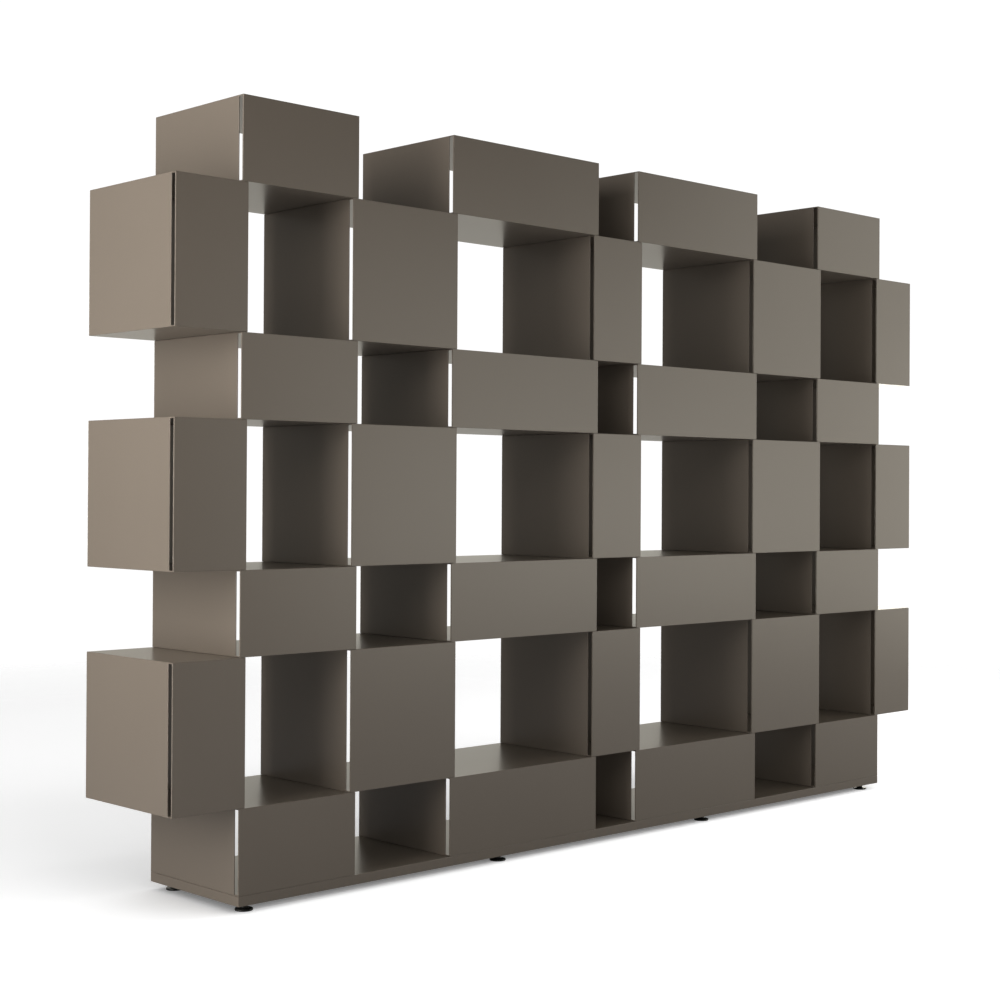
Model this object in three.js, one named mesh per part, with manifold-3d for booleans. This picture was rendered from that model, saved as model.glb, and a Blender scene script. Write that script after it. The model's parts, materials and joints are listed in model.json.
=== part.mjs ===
// Free-standing cube storage unit: lacquered sheet-metal boxes stacked brick-fashion on one
// long plinth tray with screw-adjustable levelling feet.
//
// Millimetres. +Z is up, the floor is Z = 0, the closed fronts face -Y, the boxes are open at
// the back (+Y), +X runs to the right seen from the front. X = 0 and Y = 0 are the middle of
// the unit.
//
// Low rows (1, 3, 5, 7) hold four low boxes, tall rows (2, 4, 6) hold five tall boxes. Each box
// bears on its neighbours below by a narrow overlap, so the spaces between boxes stay open from
// front to back and are the open compartments.

import * as THREE from 'three';
import { mergeVertices } from 'three/addons/utils/BufferGeometryUtils.js';
import Module from 'manifold-3d';

const wasm = await Module();
wasm.setup();

// ---------------------------------------------------------------- driving dimensions
const NARROW = 199.5;        // box widths
const MEDIUM = 346.5;
const WIDE = 550;
const LOW = 203;             // row pitches, one box high
const TALL = 350;
const DEPTH = 370;           // every box and the plinth
const OVERLAP = 16.5;        // how far a box bears on the one below, each side
const WALL = 3;              // top, bottom and side sheets
const FRONT = 4;             // front panel
const SLOT = 14;             // upright slot between the left side sheet and the front panel
const GAP = 0.3;             // air left between touching pieces

const PLINTH_H = 24;         // tray height
const PLINTH_WALL = 3;
const FOOT_H = 19.5;         // floor to the tray's lower edge
const BAR_W = 40;            // crossbars under the tray's top sheet, one for each pair of feet
const BAR_H = 17;
const FOOT_INSET_X = 44;     // end feet, from the plinth's ends
const FOOT_MID_X = 424.5;    // inner feet, from the middle
const FOOT_INSET_Y = 40;     // from the front and the back of the plinth

const PAD_R = 21.6;          // foot pad
const PAD_H = 5;
const BOSS_R = 8.5;          // hub of the pad, with the ball socket
const BOSS_TOP = 10;
const SOCKET_R = 6.2;
const SOCKET_FLOOR = 3;
const STEM_R = 5;            // M10 screw
const BALL_R = 5.8;
const COLLAR_AF = 14;        // hexagon for the spanner, across flats
const COLLAR_Z = [11, 14.5];
const STEM_TOP = 34.5;
const THREAD_PITCH = 1.5;
const THREAD_DEPTH = 0.45;
const THREAD_Z = [16.5, 25];     // the thread is cut where it shows, below the crossbar

// ---------------------------------------------------------------- layout
// The overlap fixes every open space: a space is as wide as the box above or below it, less one
// overlap at each end.
const lowWidths = [MEDIUM, WIDE, WIDE, MEDIUM];
const lowSpaces = [MEDIUM - 2 * OVERLAP, NARROW - 2 * OVERLAP, MEDIUM - 2 * OVERLAP];
const tallWidths = [NARROW, MEDIUM, NARROW, MEDIUM, NARROW];
const tallSpaces = [MEDIUM, WIDE, WIDE, MEDIUM].map((w) => w - 2 * OVERLAP);
const sum = (list) => list.reduce((a, b) => a + b, 0);
const LENGTH = sum(lowWidths) + sum(lowSpaces);              // plinth and low rows
const TALL_LENGTH = sum(tallWidths) + sum(tallSpaces);       // tall rows overhang both ends
const ROWS = [LOW, TALL, LOW, TALL, LOW, TALL, LOW];         // bottom to top
const STACK_Z = FOOT_H + PLINTH_H + GAP;                     // underside of the first row

// ---------------------------------------------------------------- helpers
function toSolid(geometry) {
  const g = geometry.clone();
  g.deleteAttribute('normal');
  g.deleteAttribute('uv');
  const m = mergeVertices(g, 1e-4);
  return new wasm.Manifold(new wasm.Mesh({
    numProp: 3,
    vertProperties: new Float32Array(m.attributes.position.array),
    triVerts: new Uint32Array(m.index.array),
  }));
}

function toGeometry(solid) {
  const m = solid.getMesh();
  const g = new THREE.BufferGeometry();
  g.setAttribute('position', new THREE.BufferAttribute(new Float32Array(m.vertProperties), 3));
  g.setIndex(new THREE.BufferAttribute(new Uint32Array(m.triVerts), 1));
  g.computeVertexNormals();
  return g;
}

// a block between two corners
function block([x0, y0, z0], [x1, y1, z1]) {
  const g = new THREE.BoxGeometry(x1 - x0, y1 - y0, z1 - z0);
  g.translate((x0 + x1) / 2, (y0 + y1) / 2, (z0 + z1) / 2);
  return g;
}

// an upright solid of revolution from [radius, height] pairs
function turned(profile, segments) {
  const g = new THREE.LatheGeometry(profile.map(([r, z]) => new THREE.Vector2(r, z)), segments);
  g.rotateX(Math.PI / 2);
  return g;
}

const lacquer = () => new THREE.MeshStandardMaterial({ color: 0x6f675e, roughness: 0.35, metalness: 0.4 });
const blackPlastic = () => new THREE.MeshStandardMaterial({ color: 0x0c0c0c, roughness: 0.55, metalness: 0 });
const zincSteel = () => new THREE.MeshStandardMaterial({ color: 0x9a9a98, roughness: 0.4, metalness: 1 });
const darkSteel = () => new THREE.MeshStandardMaterial({ color: 0x4b4845, roughness: 0.6, metalness: 0.5 });

const group = new THREE.Group();

function place(name, geometry, material, x, y, z) {
  const mesh = new THREE.Mesh(geometry, material);
  mesh.name = name;
  mesh.position.set(x, y, z);
  group.add(mesh);
}

// ---------------------------------------------------------------- one box
// Origin at the lower left corner of the front face. The top, bottom and right sheets run up to
// the front panel. The left sheet stops short of it, which leaves the upright slot. The back is
// open.
function boxGeometry(width, pitch) {
  const height = pitch - GAP;
  const outer = toSolid(block([0, 0, 0], [width, DEPTH, height]));
  const hollow = toSolid(block([WALL, FRONT, WALL], [width - WALL, DEPTH + 10, height - WALL]));
  const slot = toSolid(block([-10, FRONT, WALL], [WALL + 10, FRONT + SLOT, height - WALL]));
  return toGeometry(outer.subtract(hollow).subtract(slot));
}

const shapes = new Map();
function boxShape(width, pitch) {
  const key = `${width}x${pitch}`;
  if (!shapes.has(key)) shapes.set(key, boxGeometry(width, pitch));
  return shapes.get(key);
}

let rowZ = STACK_Z;
ROWS.forEach((pitch, row) => {
  const tall = pitch === TALL;
  const widths = tall ? tallWidths : lowWidths;
  const spaces = tall ? tallSpaces : lowSpaces;
  let x = -(tall ? TALL_LENGTH : LENGTH) / 2;
  widths.forEach((width, i) => {
    place(`box_row${row + 1}_${i + 1}`, boxShape(width, pitch), lacquer(), x, -DEPTH / 2, rowZ);
    x += width + (spaces[i] ?? 0);
  });
  rowZ += pitch;
});

// ---------------------------------------------------------------- plinth tray
// a folded tray, open underneath
const trayOuter = toSolid(block(
  [-LENGTH / 2, -DEPTH / 2, FOOT_H],
  [LENGTH / 2, DEPTH / 2, FOOT_H + PLINTH_H],
));
const trayHollow = toSolid(block(
  [-LENGTH / 2 + PLINTH_WALL, -DEPTH / 2 + PLINTH_WALL, FOOT_H - 10],
  [LENGTH / 2 - PLINTH_WALL, DEPTH / 2 - PLINTH_WALL, FOOT_H + PLINTH_H - PLINTH_WALL],
));
place('plinth_tray', toGeometry(trayOuter.subtract(trayHollow)), lacquer(), 0, 0, 0);

// ---------------------------------------------------------------- crossbars and levelling feet
const footX = [-(LENGTH / 2 - FOOT_INSET_X), -FOOT_MID_X, FOOT_MID_X, LENGTH / 2 - FOOT_INSET_X];
const footY = DEPTH / 2 - FOOT_INSET_Y;
const barTop = FOOT_H + PLINTH_H - PLINTH_WALL - GAP;
const barLength = DEPTH - 2 * PLINTH_WALL - 2 * GAP;

function crossbarGeometry() {
  let bar = toSolid(block([-BAR_W / 2, -barLength / 2, -BAR_H], [BAR_W / 2, barLength / 2, 0]));
  for (const y of [-footY, footY]) {
    const hole = new THREE.CylinderGeometry(STEM_R + GAP, STEM_R + GAP, BAR_H + 4, 32);
    hole.rotateX(Math.PI / 2);
    hole.translate(0, y, -BAR_H / 2);
    bar = bar.subtract(toSolid(hole));
  }
  return toGeometry(bar);
}

// flat round pad with a bevelled rim and a hub that holds the screw's ball end
function padGeometry() {
  const profile = [
    [0, 0], [PAD_R - 1.2, 0], [PAD_R, 1.2], [PAD_R, PAD_H - 1.6], [PAD_R - 1.6, PAD_H],
    [BOSS_R + 3, PAD_H + 0.6], [BOSS_R, PAD_H + 2.6], [BOSS_R, BOSS_TOP - 0.6], [BOSS_R - 0.6, BOSS_TOP],
    [SOCKET_R, BOSS_TOP], [SOCKET_R, SOCKET_FLOOR], [0, SOCKET_FLOOR],
  ];
  return turned(profile, 48);
}

// M10 levelling screw: ball end, neck, hexagon collar and a threaded shank
function stemGeometry() {
  const ballZ = SOCKET_FLOOR + GAP + BALL_R;
  const profile = [[0, SOCKET_FLOOR + GAP]];
  for (let i = 1; i <= 8; i += 1) {
    const a = -Math.PI / 2 + (i / 8) * (Math.PI * 0.72);
    profile.push([BALL_R * Math.cos(a), ballZ + BALL_R * Math.sin(a)]);
  }
  profile.push([4.2, ballZ + 4.6], [4.2, COLLAR_Z[1] + 0.6], [STEM_R - 0.6, THREAD_Z[0] - 1]);
  for (let z = THREAD_Z[0]; z < THREAD_Z[1] - THREAD_PITCH; z += THREAD_PITCH) {
    profile.push([STEM_R - THREAD_DEPTH, z], [STEM_R, z + THREAD_PITCH / 2]);
  }
  profile.push([STEM_R, THREAD_Z[1]], [STEM_R, STEM_TOP - 1.4], [STEM_R - 1.4, STEM_TOP], [0, STEM_TOP]);
  const hexR = COLLAR_AF / 2 / Math.cos(Math.PI / 6);
  const hexagon = new THREE.Shape(Array.from({ length: 6 }, (_, i) => new THREE.Vector2(
    hexR * Math.cos((i * Math.PI) / 3), hexR * Math.sin((i * Math.PI) / 3),
  )));
  const collar = new THREE.ExtrudeGeometry(hexagon, { depth: COLLAR_Z[1] - COLLAR_Z[0], bevelEnabled: false });
  collar.translate(0, 0, COLLAR_Z[0]);
  return toGeometry(toSolid(turned(profile, 24)).add(toSolid(collar)));
}

const crossbar = crossbarGeometry();
const pad = padGeometry();
const stem = stemGeometry();
footX.forEach((x, i) => {
  place(`crossbar_${i + 1}`, crossbar, darkSteel(), x, 0, barTop);
  for (const [side, y] of [['front', -footY], ['back', footY]]) {
    place(`foot_pad_${side}_${i + 1}`, pad, blackPlastic(), x, y, 0);
    place(`foot_screw_${side}_${i + 1}`, stem, zincSteel(), x, y, 0);
  }
});

export default group;
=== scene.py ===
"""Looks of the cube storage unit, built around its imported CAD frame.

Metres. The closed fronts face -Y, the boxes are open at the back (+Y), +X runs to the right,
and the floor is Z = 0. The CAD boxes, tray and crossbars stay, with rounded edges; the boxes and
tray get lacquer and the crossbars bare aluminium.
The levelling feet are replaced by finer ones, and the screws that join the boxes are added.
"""
import json
import math

import bpy
from mathutils import Matrix, Vector

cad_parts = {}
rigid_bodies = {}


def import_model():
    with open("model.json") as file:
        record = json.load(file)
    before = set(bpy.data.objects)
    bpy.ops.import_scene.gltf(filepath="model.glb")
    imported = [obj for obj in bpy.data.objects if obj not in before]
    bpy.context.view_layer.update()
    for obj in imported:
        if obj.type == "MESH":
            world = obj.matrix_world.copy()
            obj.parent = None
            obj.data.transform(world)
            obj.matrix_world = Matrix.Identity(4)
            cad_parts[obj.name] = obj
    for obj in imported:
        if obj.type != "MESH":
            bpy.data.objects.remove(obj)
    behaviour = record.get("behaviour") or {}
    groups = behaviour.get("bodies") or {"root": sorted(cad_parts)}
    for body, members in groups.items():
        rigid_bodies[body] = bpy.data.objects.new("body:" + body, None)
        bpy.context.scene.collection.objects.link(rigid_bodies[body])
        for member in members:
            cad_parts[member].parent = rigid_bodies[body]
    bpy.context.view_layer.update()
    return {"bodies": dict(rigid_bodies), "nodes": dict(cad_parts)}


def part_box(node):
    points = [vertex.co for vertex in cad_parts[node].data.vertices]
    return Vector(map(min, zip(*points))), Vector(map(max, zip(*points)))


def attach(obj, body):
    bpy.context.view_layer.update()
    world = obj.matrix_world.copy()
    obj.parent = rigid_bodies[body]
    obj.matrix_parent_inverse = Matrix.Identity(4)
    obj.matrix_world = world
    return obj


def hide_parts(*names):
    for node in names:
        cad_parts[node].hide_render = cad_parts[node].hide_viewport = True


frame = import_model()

NODES = frame["nodes"]
FRAME_BODY = "frame"

# ---------------------------------------------------------------- sizes
SHEET = 0.003                # box sheets
EDGE_RADIUS = 0.0012         # folded and brushed edges under the lacquer
BOX_TOP_GAP = 0.0003         # air between two stacked boxes

SCREW_HEAD_R = 0.0038        # M4 button-head screws that join the boxes
SCREW_SOCKET_R = 0.00145
NUT_R = 0.00404
NUT_H = 0.0032
SCREW_FROM_ENDS = 0.055      # from a box's front and back
SCREW_FROM_SIDES = 0.016     # from the side sheets, at a wide overlap
MIN_OVERLAP = 0.008          # boxes that share at least this much width are joined
WIDE_OVERLAP = 0.05          # wider ones get two rows of screws
SMALL_SEGMENTS = 24          # steps round a joining screw or nut

SEGMENTS = 48                # steps round other round pieces, unless they say otherwise
SHARP_ANGLE = math.radians(32)
BEVEL_ANGLE = math.radians(40)
BEVEL_SEGMENTS = 3
WELD_DISTANCE = 1e-6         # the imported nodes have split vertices


# ---------------------------------------------------------------- materials
def new_material(name):
    material = bpy.data.materials.new(name)
    material.use_nodes = True
    return material, material.node_tree.nodes["Principled BSDF"]


def add(material, kind, inputs=None, **settings):
    """A node of that kind, with its settings, and its inputs set to numbers or linked to sockets."""
    node = material.node_tree.nodes.new(kind)
    for key, value in settings.items():
        setattr(node, key, value)
    for key, value in (inputs or {}).items():
        join(material, value, node.inputs[key])
    return node


def join(material, value, socket):
    if isinstance(value, bpy.types.NodeSocket):
        material.node_tree.links.new(value, socket)
    else:
        socket.default_value = value


def noise(material, coords, scale, detail=2.0, roughness=0.5):
    """Noise of about 1 / scale metres, from 0 to 1."""
    return add(
        material,
        "ShaderNodeTexNoise",
        {"Vector": coords, "Scale": scale, "Detail": detail, "Roughness": roughness},
    ).outputs["Fac"]


def remap(material, value, low, high, start=0.3, end=0.7):
    """Start to end of value, spread over low to high."""
    return add(
        material,
        "ShaderNodeMapRange",
        {"Value": value, "From Min": start, "From Max": end, "To Min": low, "To Max": high},
    ).outputs["Result"]


def shade(material, factor, dark, light):
    """Colour between two shades, by a factor from 0 to 1."""
    mix = add(material, "ShaderNodeMix", {"Factor": factor}, data_type="RGBA")
    join(material, (*dark, 1), mix.inputs[6])
    join(material, (*light, 1), mix.inputs[7])
    return mix.outputs[2]


def bump(material, height, distance):
    inputs = {"Height": height, "Distance": distance, "Strength": 1.0}
    return add(material, "ShaderNodeBump", inputs).outputs["Normal"]


def object_coords(material):
    return add(material, "ShaderNodeTexCoord").outputs["Object"]


def lacquer():
    """Satin taupe lacquer on sheet metal, with fine pigment and a little orange peel."""
    material, shader = new_material("taupe_lacquer")
    coords = object_coords(material)
    drift = noise(material, coords, 2.3, detail=3)
    pigment = noise(material, coords, 1500, detail=1)
    tone = add(
        material,
        "ShaderNodeMath",
        {0: remap(material, drift, 0, 0.6, 0.15, 0.85), 1: remap(material, pigment, 0, 0.4)},
        operation="ADD",
    ).outputs[0]
    colour = shade(material, tone, (0.167, 0.141, 0.116), (0.185, 0.157, 0.130))
    orange_peel = noise(material, coords, 330, detail=1)
    normal = bump(material, orange_peel, 0.000002)
    join(material, colour, shader.inputs["Base Color"])
    sheen = remap(material, noise(material, coords, 9, 2), 0.275, 0.295, 0, 1)
    join(material, sheen, shader.inputs["Roughness"])
    join(material, normal, shader.inputs["Normal"])
    return material


def metal(name, dark, light, roughness, grain_scale):
    """Bare or plated metal with a fine drawn grain along Y."""
    material, shader = new_material(name)
    coords = add(
        material,
        "ShaderNodeMapping",
        {"Vector": object_coords(material), "Scale": (1, 0.02, 1)},
    ).outputs["Vector"]
    streaks = noise(material, coords, grain_scale, detail=3, roughness=0.6)
    colour = shade(material, remap(material, streaks, 0, 1), dark, light)
    sheen = remap(material, streaks, roughness - 0.06, roughness + 0.08)
    join(material, colour, shader.inputs["Base Color"])
    join(material, sheen, shader.inputs["Roughness"])
    join(material, bump(material, streaks, 0.00002), shader.inputs["Normal"])
    shader.inputs["Metallic"].default_value = 1.0
    return material


def black_plastic():
    """Moulded glass-filled nylon, slightly glossy."""
    material, shader = new_material("black_plastic")
    coords = object_coords(material)
    speckle = noise(material, coords, 1800, detail=2)
    tone = remap(material, speckle, 0, 1)
    colour = shade(material, tone, (0.006, 0.006, 0.006), (0.014, 0.014, 0.0135))
    join(material, colour, shader.inputs["Base Color"])
    join(material, remap(material, speckle, 0.28, 0.4), shader.inputs["Roughness"])
    join(material, bump(material, speckle, 0.00002), shader.inputs["Normal"])
    return material


LACQUER = lacquer()
BARE_METAL = metal("bare_aluminium", (0.36, 0.36, 0.36), (0.5, 0.5, 0.5), 0.42, 700)
ZINC = metal("zinc_plate", (0.42, 0.42, 0.40), (0.62, 0.62, 0.6), 0.34, 1500)
BLACK_PLASTIC = black_plastic()


# ---------------------------------------------------------------- mesh building
def mesh_object(name, vertices, faces, material):
    mesh = bpy.data.meshes.new(name)
    mesh.from_pydata(vertices, [], faces)
    mesh.update()
    mesh.polygons.foreach_set("use_smooth", [True] * len(mesh.polygons))
    mesh.set_sharp_from_angle(angle=SHARP_ANGLE)
    mesh.materials.append(material)
    piece = bpy.data.objects.new(name, mesh)
    bpy.context.scene.collection.objects.link(piece)
    return piece


def ring_shape(levels, segments=SEGMENTS):
    """Vertices and faces of an upright closed form from [height, radius] levels, bottom to top.
    A radius is a number, or a function of the angle; 0 closes the form at a point."""
    vertices, faces, rings = [], [], []
    for z, radius in levels:
        if radius == 0:
            rings.append([len(vertices)])
            vertices.append((0.0, 0.0, z))
            continue
        rings.append(range(len(vertices), len(vertices) + segments))
        for i in range(segments):
            angle = 2 * math.pi * i / segments
            r = radius(angle) if callable(radius) else radius
            vertices.append((r * math.cos(angle), r * math.sin(angle), z))
    for below, above in zip(rings, rings[1:]):
        for i in range(segments):
            j = (i + 1) % segments
            if len(below) == 1:
                faces.append((below[0], above[j], above[i]))
            elif len(above) == 1:
                faces.append((below[i], below[j], above[0]))
            else:
                faces.append((below[i], below[j], above[j], above[i]))
    return vertices, faces


def arc(z, r, radius, start, end, steps=5):
    """Levels on a quarter-round edge about (z, r), from one angle to the other in degrees."""
    angles = [math.radians(start + (end - start) * i / steps) for i in range(steps + 1)]
    return [(z + radius * math.sin(a), r + radius * math.cos(a)) for a in angles]


def hexagon(across_flats, largest):
    """Radius of a hexagon by angle, with its corners turned off at the largest radius."""

    def radius(angle):
        off_flat = (angle + math.pi / 6) % (math.pi / 3) - math.pi / 6
        return min(across_flats / 2 / math.cos(off_flat), largest)

    return radius


def joined_copies(name, shape, places, material):
    """One mesh of copies of a shape; each place is a point and +1 upright or -1 upside down."""
    base_vertices, base_faces = shape
    vertices, faces = [], []
    for (x, y, z), way in places:
        first = len(vertices)
        vertices += [(x + a, y + b * way, z + c * way) for a, b, c in base_vertices]
        faces += [tuple(first + i for i in face) for face in base_faces]
    return mesh_object(name, vertices, faces, material)


# ---------------------------------------------------------------- lacquered sheet and bars
def finish_node(name, material, radius):
    """The CAD node keeps its shape; its edges are rounded, and it gets its material."""
    node = NODES[name]
    node.data.materials.clear()
    node.data.materials.append(material)
    weld = node.modifiers.new("weld", "WELD")
    weld.merge_threshold = WELD_DISTANCE
    bevel = node.modifiers.new("edges", "BEVEL")
    bevel.width = radius
    bevel.segments = BEVEL_SEGMENTS
    bevel.limit_method = "ANGLE"
    bevel.angle_limit = BEVEL_ANGLE
    bevel.harden_normals = True


BOXES = sorted(name for name in NODES if name.startswith("box_row"))
for box_name in BOXES + ["plinth_tray"]:
    finish_node(box_name, LACQUER, EDGE_RADIUS)
for bar_name in sorted(name for name in NODES if name.startswith("crossbar_")):
    finish_node(bar_name, BARE_METAL, EDGE_RADIUS)


# ---------------------------------------------------------------- screws that join the boxes
def screw_head():
    """A domed head with a hexagon socket, its underside at height 0."""
    levels = [(0.0, SCREW_HEAD_R)]
    levels += arc(0.0004, SCREW_HEAD_R - 0.0019, 0.0019, 0, 82, 7)
    top = levels[-1][0]
    socket = hexagon(2 * SCREW_SOCKET_R, SCREW_SOCKET_R * 1.2)
    levels += [(top, SCREW_SOCKET_R * 1.25), (top - 0.0001, socket)]
    levels += [(top - 0.0012, socket), (top - 0.0014, 0)]
    return ring_shape(levels, SMALL_SEGMENTS)


def nut():
    """A hexagon nut with the end of the bolt standing out of it."""
    across = NUT_R * 2 * math.cos(math.pi / 6)
    full = hexagon(across, NUT_R)
    turned = hexagon(across, NUT_R * 0.93)
    bolt_end = 0.002
    levels = [(0.0, turned), (0.0004, full), (NUT_H - 0.0004, full), (NUT_H, turned)]
    levels += [(NUT_H, bolt_end + 0.0003), (NUT_H - 0.0003, bolt_end), (NUT_H + 0.0012, bolt_end)]
    levels += [(NUT_H + 0.0015, bolt_end * 0.8), (NUT_H + 0.0015, 0)]
    return ring_shape(levels, SMALL_SEGMENTS)


def add_joining_screws():
    """Four screws through each wide overlap, two through each narrow one. Heads stand on the upper
    box's floor, and the narrow overlaps have nuts under the lower box's top as well."""
    spans = {name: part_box(name) for name in BOXES + ["plinth_tray"]}
    heads, nuts = [], []
    for upper, (up_low, up_high) in spans.items():
        if upper == "plinth_tray":
            continue
        for lower, (low_low, low_high) in spans.items():
            if abs(low_high.z - up_low.z) > 2 * BOX_TOP_GAP:
                continue
            left = max(up_low.x, low_low.x) + SHEET
            right = min(up_high.x, low_high.x) - SHEET
            if right - left < MIN_OVERLAP:
                continue
            wide = right - left > WIDE_OVERLAP
            rows = [left + SCREW_FROM_SIDES, right - SCREW_FROM_SIDES]
            for x in (rows if wide else [(left + right) / 2]):
                for y in (up_low.y + SCREW_FROM_ENDS, up_high.y - SCREW_FROM_ENDS):
                    heads.append(((x, y, up_low.z + SHEET), 1))
                    if not wide:
                        nuts.append(((x, y, low_high.z - SHEET), -1))
    for name, shape, places in (
        ("joining_screw_heads", screw_head(), heads),
        ("joining_screw_nuts", nut(), nuts),
    ):
        piece = joined_copies(name, shape, places, ZINC)
        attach(piece, FRAME_BODY)


add_joining_screws()


# ---------------------------------------------------------------- levelling feet
PAD_H = 0.005
HUB_R = 0.0085
HUB_TOP = 0.010
SOCKET_R = 0.0062
SOCKET_FLOOR = 0.003
SHANK_R = 0.005
BALL_R = 0.0058
SHANK_TOP = 0.0345
THREAD_PITCH = 0.0015
THREAD_DEPTH = 0.00055
THREAD_START = 0.0163
COLLAR = (0.011, 0.0145)
COLLAR_FLATS = 0.014
THREAD_STEP = 0.00025        # height of one step of its mesh


def pad_shape(radius):
    """A round pad with a rolled rim, a dished top and a hub with the ball's socket."""
    levels = [(0.0, 0), (0.0, radius - 0.0014)]
    levels += arc(0.0012, radius - 0.0012, 0.0012, -80, 0)
    levels += arc(PAD_H - 0.0017, radius - 0.0017, 0.0017, 0, 82)
    levels += [(PAD_H - 0.0002, radius - 0.0032), (PAD_H - 0.0001, HUB_R + 0.005)]
    levels += [(PAD_H + 0.0004, HUB_R + 0.0028), (PAD_H + 0.0014, HUB_R + 0.0012)]
    levels += [(PAD_H + 0.0026, HUB_R + 0.0002)]
    levels += arc(HUB_TOP - 0.0008, HUB_R - 0.0008, 0.0008, 0, 84)
    levels += [(HUB_TOP, SOCKET_R + 0.0004), (HUB_TOP - 0.0004, SOCKET_R), (SOCKET_FLOOR, SOCKET_R)]
    levels += [(SOCKET_FLOOR, 0)]
    return ring_shape(levels, 72)


def thread_radius(z):
    """Radius of the helical thread at a height, by angle."""

    def radius(angle):
        turn = ((z - THREAD_START) / THREAD_PITCH - angle / (2 * math.pi)) % 1.0
        ridge = 1 - abs(2 * turn - 1)
        rise = min(1.0, (z - THREAD_START) / THREAD_PITCH, (SHANK_TOP - z) / THREAD_PITCH)
        return SHANK_R - THREAD_DEPTH * (1 - ridge * rise)

    return radius


def levelling_screw_shape():
    """Ball end, neck, hexagon collar with turned corners, and the threaded shank."""
    ball_z = SOCKET_FLOOR + 0.0003 + BALL_R
    levels = [(ball_z - BALL_R, 0)]
    for step in range(1, 13):
        angle = math.radians(-90 + step * 10.5)
        levels.append((ball_z + BALL_R * math.sin(angle), BALL_R * math.cos(angle)))
    low, high = COLLAR
    turned = hexagon(COLLAR_FLATS, COLLAR_FLATS / 2 * 1.06)
    full = hexagon(COLLAR_FLATS, COLLAR_FLATS)
    levels += [(low - 0.0004, 0.0042), (low, 0.0046), (low, turned), (low + 0.0005, full)]
    levels += [(high - 0.0005, full), (high, turned), (high, 0.0048)]
    levels += [(high + 0.0006, SHANK_R - THREAD_DEPTH)]
    steps = int((SHANK_TOP - THREAD_START) / THREAD_STEP)
    for step in range(steps):
        z = THREAD_START + step * THREAD_STEP
        levels.append((z, thread_radius(z)))
    levels += [(SHANK_TOP - 0.0002, SHANK_R - 0.0009), (SHANK_TOP, SHANK_R - 0.0013), (SHANK_TOP, 0)]
    return ring_shape(levels, 36)


def add_feet():
    for body in sorted(frame["bodies"]):
        if not body.startswith("foot_"):
            continue
        place = body[len("foot_"):]
        low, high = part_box(f"foot_pad_{place}")
        centre = (low + high) / 2
        at = Vector((centre.x, centre.y, low.z))
        radius = (high.x - low.x) / 2
        for part, shape, material, slot in (
            ("pad", pad_shape(radius), BLACK_PLASTIC, "foot_plastic"),
            ("screw", levelling_screw_shape(), ZINC, "screw_steel"),
        ):
            vertices, faces = shape
            moved = [(x + at.x, y + at.y, z + at.z) for x, y, z in vertices]
            piece = mesh_object(f"levelling_{part}_{place}", moved, faces, material)
            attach(piece, body)
            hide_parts(f"foot_{part}_{place}")


add_feet()


# ---------------------------------------------------------------- stage
FLOOR_SIZE = 30.0
FLOOR_FADE = (3.6, 6.0)      # the floor runs into the white background between these distances
FLOOR_BOUNCE = 0.32          # how much of its light the floor throws on the unit
FLOOR_SEEN = 1.0             # how bright the camera sees it
FLOOR_GLOW = 0.18
BACKGROUND = 1.05            # white behind the unit
ROOM_LIGHT = 0.05            # what the room adds to every surface
CAMERA_AT = (-3.6666, -3.5213, 0.9858)
CAMERA_TURN = -43.85         # degrees, from +Y to the right
CAMERA_TILT = 90.34          # degrees, from straight down
CAMERA_ROLL = 0.32           # degrees
CAMERA_LENS = 62.94          # millimetres, on a 36 mm sensor
CAMERA_SHIFT = -0.0191

WARM = (1.0, 0.965, 0.915)
WARMER = (1.0, 0.955, 0.84)
NEUTRAL = (1.0, 1.0, 1.0)

# Softboxes: centre, direction, width, height, radiance.
KEY_LIGHTS = {
    "key_core": ((-3.00, -0.20, 1.50), (1, 0, 0), 1.4, 3.0, 3.75),
    "key_wide": ((-3.01, -0.30, 1.50), (1, 0, 0), 3.4, 3.0, 0.50),
    "key_high": ((-3.00, -2.20, 2.50), (1, 0, 0), 2.4, 1.0, 2.80),
}
FILL_LIGHTS = {
    "front_low": ((4.45, -5.00, 0.70), (0, 1, 0), 4.0, 1.3, 2.90),
    "front_high": ((4.00, -5.00, 2.00), (0, 1, 0), 4.0, 1.3, 1.62),
    "right": ((6.00, 1.00, 1.00), (-1, 0, 0), 6.0, 2.0, 4.00),
    "right_front": ((6.00, -3.50, 2.00), (-1, 0, 0), 3.0, 4.0, 1.85),
    "top_right": ((4.50, -0.50, 4.05), (0, 0, -1), 3.0, 9.0, 0.60),
    "back_right": ((3.30, 4.00, 0.98), (0, -1, 0), 5.4, 1.95, 0.82),
    "back_left": ((-3.90, 4.00, 2.00), (0, -1, 0), 2.2, 4.0, 0.29),
    "back_high": ((3.60, 3.60, 3.20), (-0.5, -0.7, -0.5), 3.4, 2.0, 1.40),
    "back": ((0.00, 9.00, 1.20), (0, -1, 0), 3.0, 2.4, 10.00),
}
FLOOR_LIGHTS = {
    "floor_front": ((0.00, -5.00, 2.80), (0, 1, 0), 8.0, 2.4, 4.5),
    "floor_right": ((6.00, -3.50, 2.00), (-1, 0, 0), 3.0, 4.0, 9.0),
    "floor_left": ((-4.50, -1.50, 2.00), (1, 0, 0), 5.0, 1.6, 1.5),
    "floor_top": ((0.00, 0.00, 4.00), (0, 0, -1), 14.0, 14.0, 0.85),
}


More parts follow.
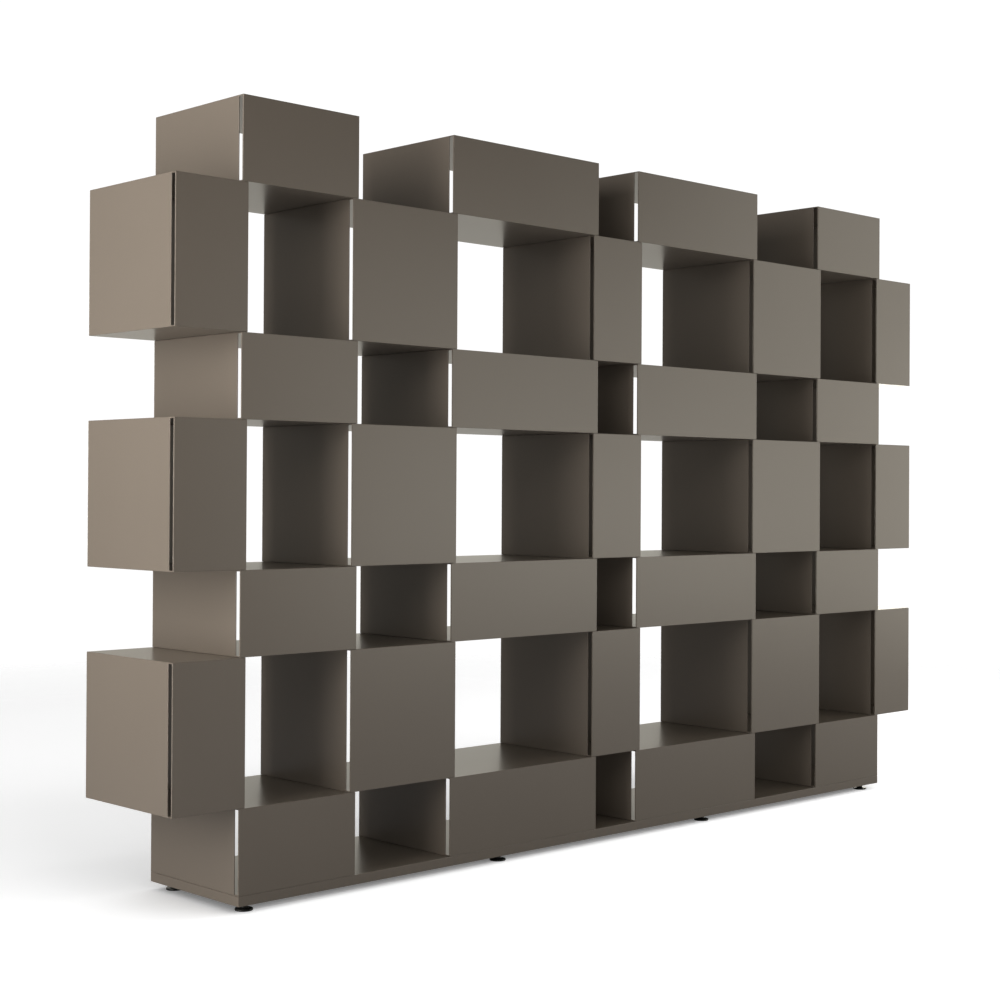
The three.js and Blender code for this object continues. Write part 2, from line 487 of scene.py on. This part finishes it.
def floor_material():
    """Matt white studio floor. It is seen white, and lights the unit like a pale grey one."""
    material = bpy.data.materials.new("studio_floor")
    material.use_nodes = True
    tree = material.node_tree
    tree.nodes.clear()
    coords = object_coords(material)
    bounce = add(material, "ShaderNodeBsdfDiffuse", {"Color": (*[FLOOR_BOUNCE] * 3, 1)})
    seen = add(material, "ShaderNodeBsdfDiffuse", {"Color": (*[FLOOR_SEEN] * 3, 1)})
    glow = add(material, "ShaderNodeEmission", {"Strength": FLOOR_GLOW})
    bright = add(material, "ShaderNodeAddShader", {0: seen.outputs[0], 1: glow.outputs[0]})
    camera_ray = add(material, "ShaderNodeLightPath").outputs["Is Camera Ray"]
    light_or_look = {0: camera_ray, 1: bounce.outputs[0], 2: bright.outputs[0]}
    lit = add(material, "ShaderNodeMixShader", light_or_look)
    distance = add(material, "ShaderNodeVectorMath", {0: coords}, operation="LENGTH").outputs["Value"]
    clear = add(material, "ShaderNodeBsdfTransparent")
    faded = remap(material, distance, 0, 1, *FLOOR_FADE)
    mixed = add(material, "ShaderNodeMixShader", {0: faded, 1: lit.outputs[0], 2: clear.outputs[0]})
    add(material, "ShaderNodeOutputMaterial", {"Surface": mixed.outputs[0]})
    return material


def add_floor():
    half = FLOOR_SIZE / 2
    corners = [(-half, -half, 0), (half, -half, 0), (half, half, 0), (-half, half, 0)]
    floor = mesh_object("studio_floor", corners, [(0, 1, 2, 3)], floor_material())
    return floor


def softbox(name, centre, facing, width, height, radiance, colour):
    """A soft area light of even radiance that the camera doesn't see."""
    light = bpy.data.lights.new(name, "AREA")
    light.shape = "RECTANGLE"
    light.size = width
    light.size_y = height
    light.color = colour
    light.energy = radiance * width * height * math.pi
    lamp = bpy.data.objects.new(name, light)
    lamp.location = centre
    lamp.rotation_euler = Vector(facing).to_track_quat("-Z", "Y").to_euler()
    lamp.visible_camera = False
    bpy.context.scene.collection.objects.link(lamp)
    return lamp


def add_lights(floor):
    """The floor has its own lights, so that its one soft shadow falls to the left and back."""
    for table, colour, state in (
        (KEY_LIGHTS, WARM, "EXCLUDE"),
        (FILL_LIGHTS, WARMER, "EXCLUDE"),
        (FLOOR_LIGHTS, NEUTRAL, "INCLUDE"),
    ):
        linked = bpy.data.collections.new(f"floor_{state.lower()}")
        linked.objects.link(floor)
        linked.collection_objects[0].light_linking.link_state = state
        for name, values in table.items():
            softbox(name, *values, colour).light_linking.receiver_collection = linked


def add_world():
    """White behind the unit, a dim room for everything that the world lights."""
    world = bpy.data.worlds.new("studio")
    world.use_nodes = True
    tree = world.node_tree
    background = tree.nodes["Background"]
    ray = tree.nodes.new("ShaderNodeLightPath")
    strength = tree.nodes.new("ShaderNodeMapRange")
    strength.inputs["To Min"].default_value = ROOM_LIGHT
    strength.inputs["To Max"].default_value = BACKGROUND
    tree.links.new(ray.outputs["Is Camera Ray"], strength.inputs["Value"])
    tree.links.new(strength.outputs["Result"], background.inputs["Strength"])
    background.inputs["Color"].default_value = (1, 1, 1, 1)
    bpy.context.scene.world = world


def add_camera():
    data = bpy.data.cameras.new("camera")
    data.sensor_width = 36.0
    data.lens = CAMERA_LENS
    data.shift_y = CAMERA_SHIFT
    data.clip_end = 100.0
    camera = bpy.data.objects.new("camera", data)
    turn = Matrix.Rotation(math.radians(CAMERA_TURN), 4, "Z")
    tilt = Matrix.Rotation(math.radians(CAMERA_TILT), 4, "X")
    roll = Matrix.Rotation(math.radians(CAMERA_ROLL), 4, "Z")
    camera.matrix_world = Matrix.Translation(CAMERA_AT) @ turn @ tilt @ roll
    bpy.context.scene.collection.objects.link(camera)
    bpy.context.scene.camera = camera


add_lights(add_floor())
add_world()
add_camera()
bpy.context.scene.view_settings.view_transform = "Standard"
